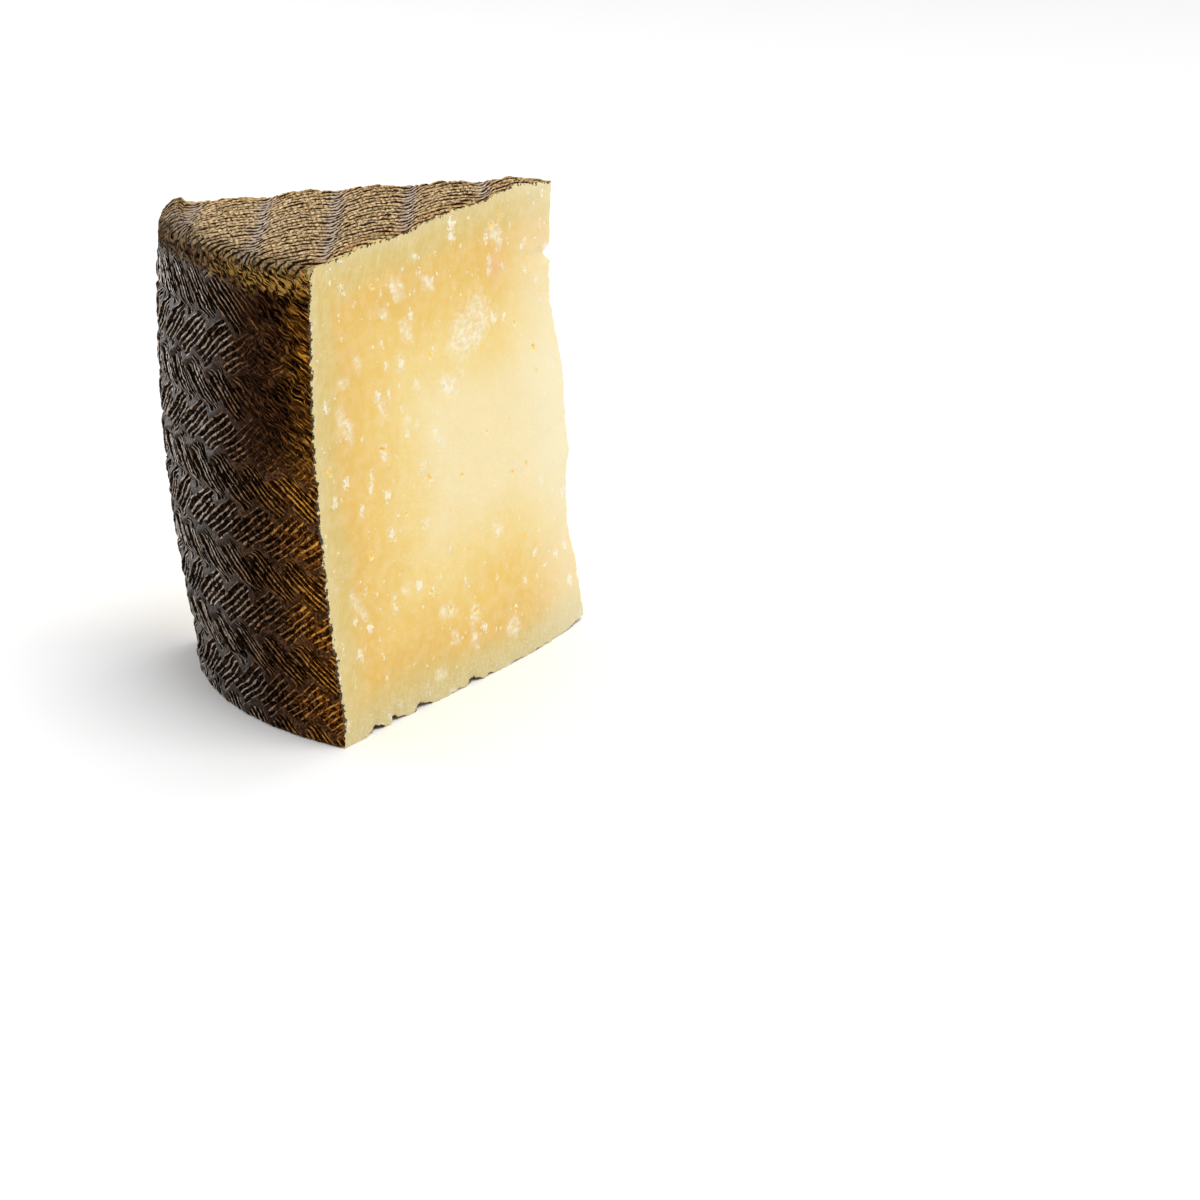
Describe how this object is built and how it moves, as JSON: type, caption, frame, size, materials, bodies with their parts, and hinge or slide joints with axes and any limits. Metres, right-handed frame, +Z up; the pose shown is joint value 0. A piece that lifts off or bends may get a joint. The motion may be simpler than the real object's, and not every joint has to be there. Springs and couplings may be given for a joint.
{
  "type": "cheese wedge",
  "caption": "Upright wedge cut from a pressed wheel of hard sheep's cheese, with a dark rind that carries the herringbone print of a plaited mould.",
  "frame": {"origin": "middle of the bounding box's underside, on the surface that the wedge stands on", "axes": "+Z up, as the wheel stood; +X along the wedge's middle line towards the tip, so the rind faces -X and the cut faces look towards -Y and +Y"},
  "size_m": [0.0972, 0.0878, 0.1111],
  "materials": {
    "cheese": "pale straw paste on the two cut faces, satin and slightly translucent; near-black to ochre brown rind on the side, top and foot, satin on its ribs"
  },
  "bodies": {
    "root": {"cheese_wedge": "cheese"}
  },
  "joints": []
}
